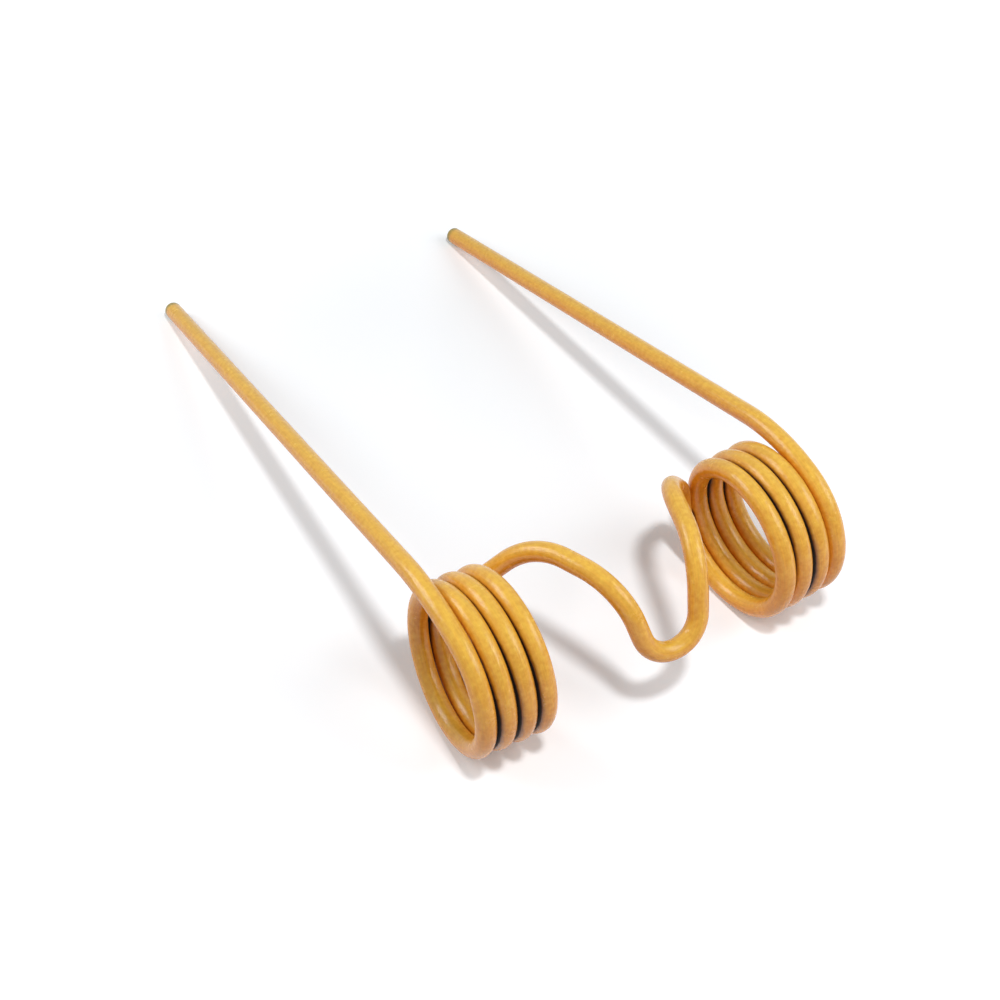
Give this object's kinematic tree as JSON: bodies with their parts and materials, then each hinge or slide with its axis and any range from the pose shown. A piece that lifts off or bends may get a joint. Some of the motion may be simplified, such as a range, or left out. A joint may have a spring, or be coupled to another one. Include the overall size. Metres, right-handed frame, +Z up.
{
  "type": "rake tine",
  "caption": "Spring-wire rake tine for sweeping hay: paired coils, long straight tines and a humped bridge with a bolt loop, bent from one round wire.",
  "frame": {"origin": "on the surface that the tine lies on, under the middle of its box", "axes": "+Z up from the surface, +Y from the coils along the tines to their tips, X across the pair of coils, with the longer tine at -X"},
  "size_m": [0.1886, 0.3548, 0.0802],
  "materials": {
    "yellow_paint": "glossy golden yellow paint on spring steel wire"
  },
  "bodies": {
    "root": {"rake_tine": "yellow_paint"}
  },
  "joints": []
}
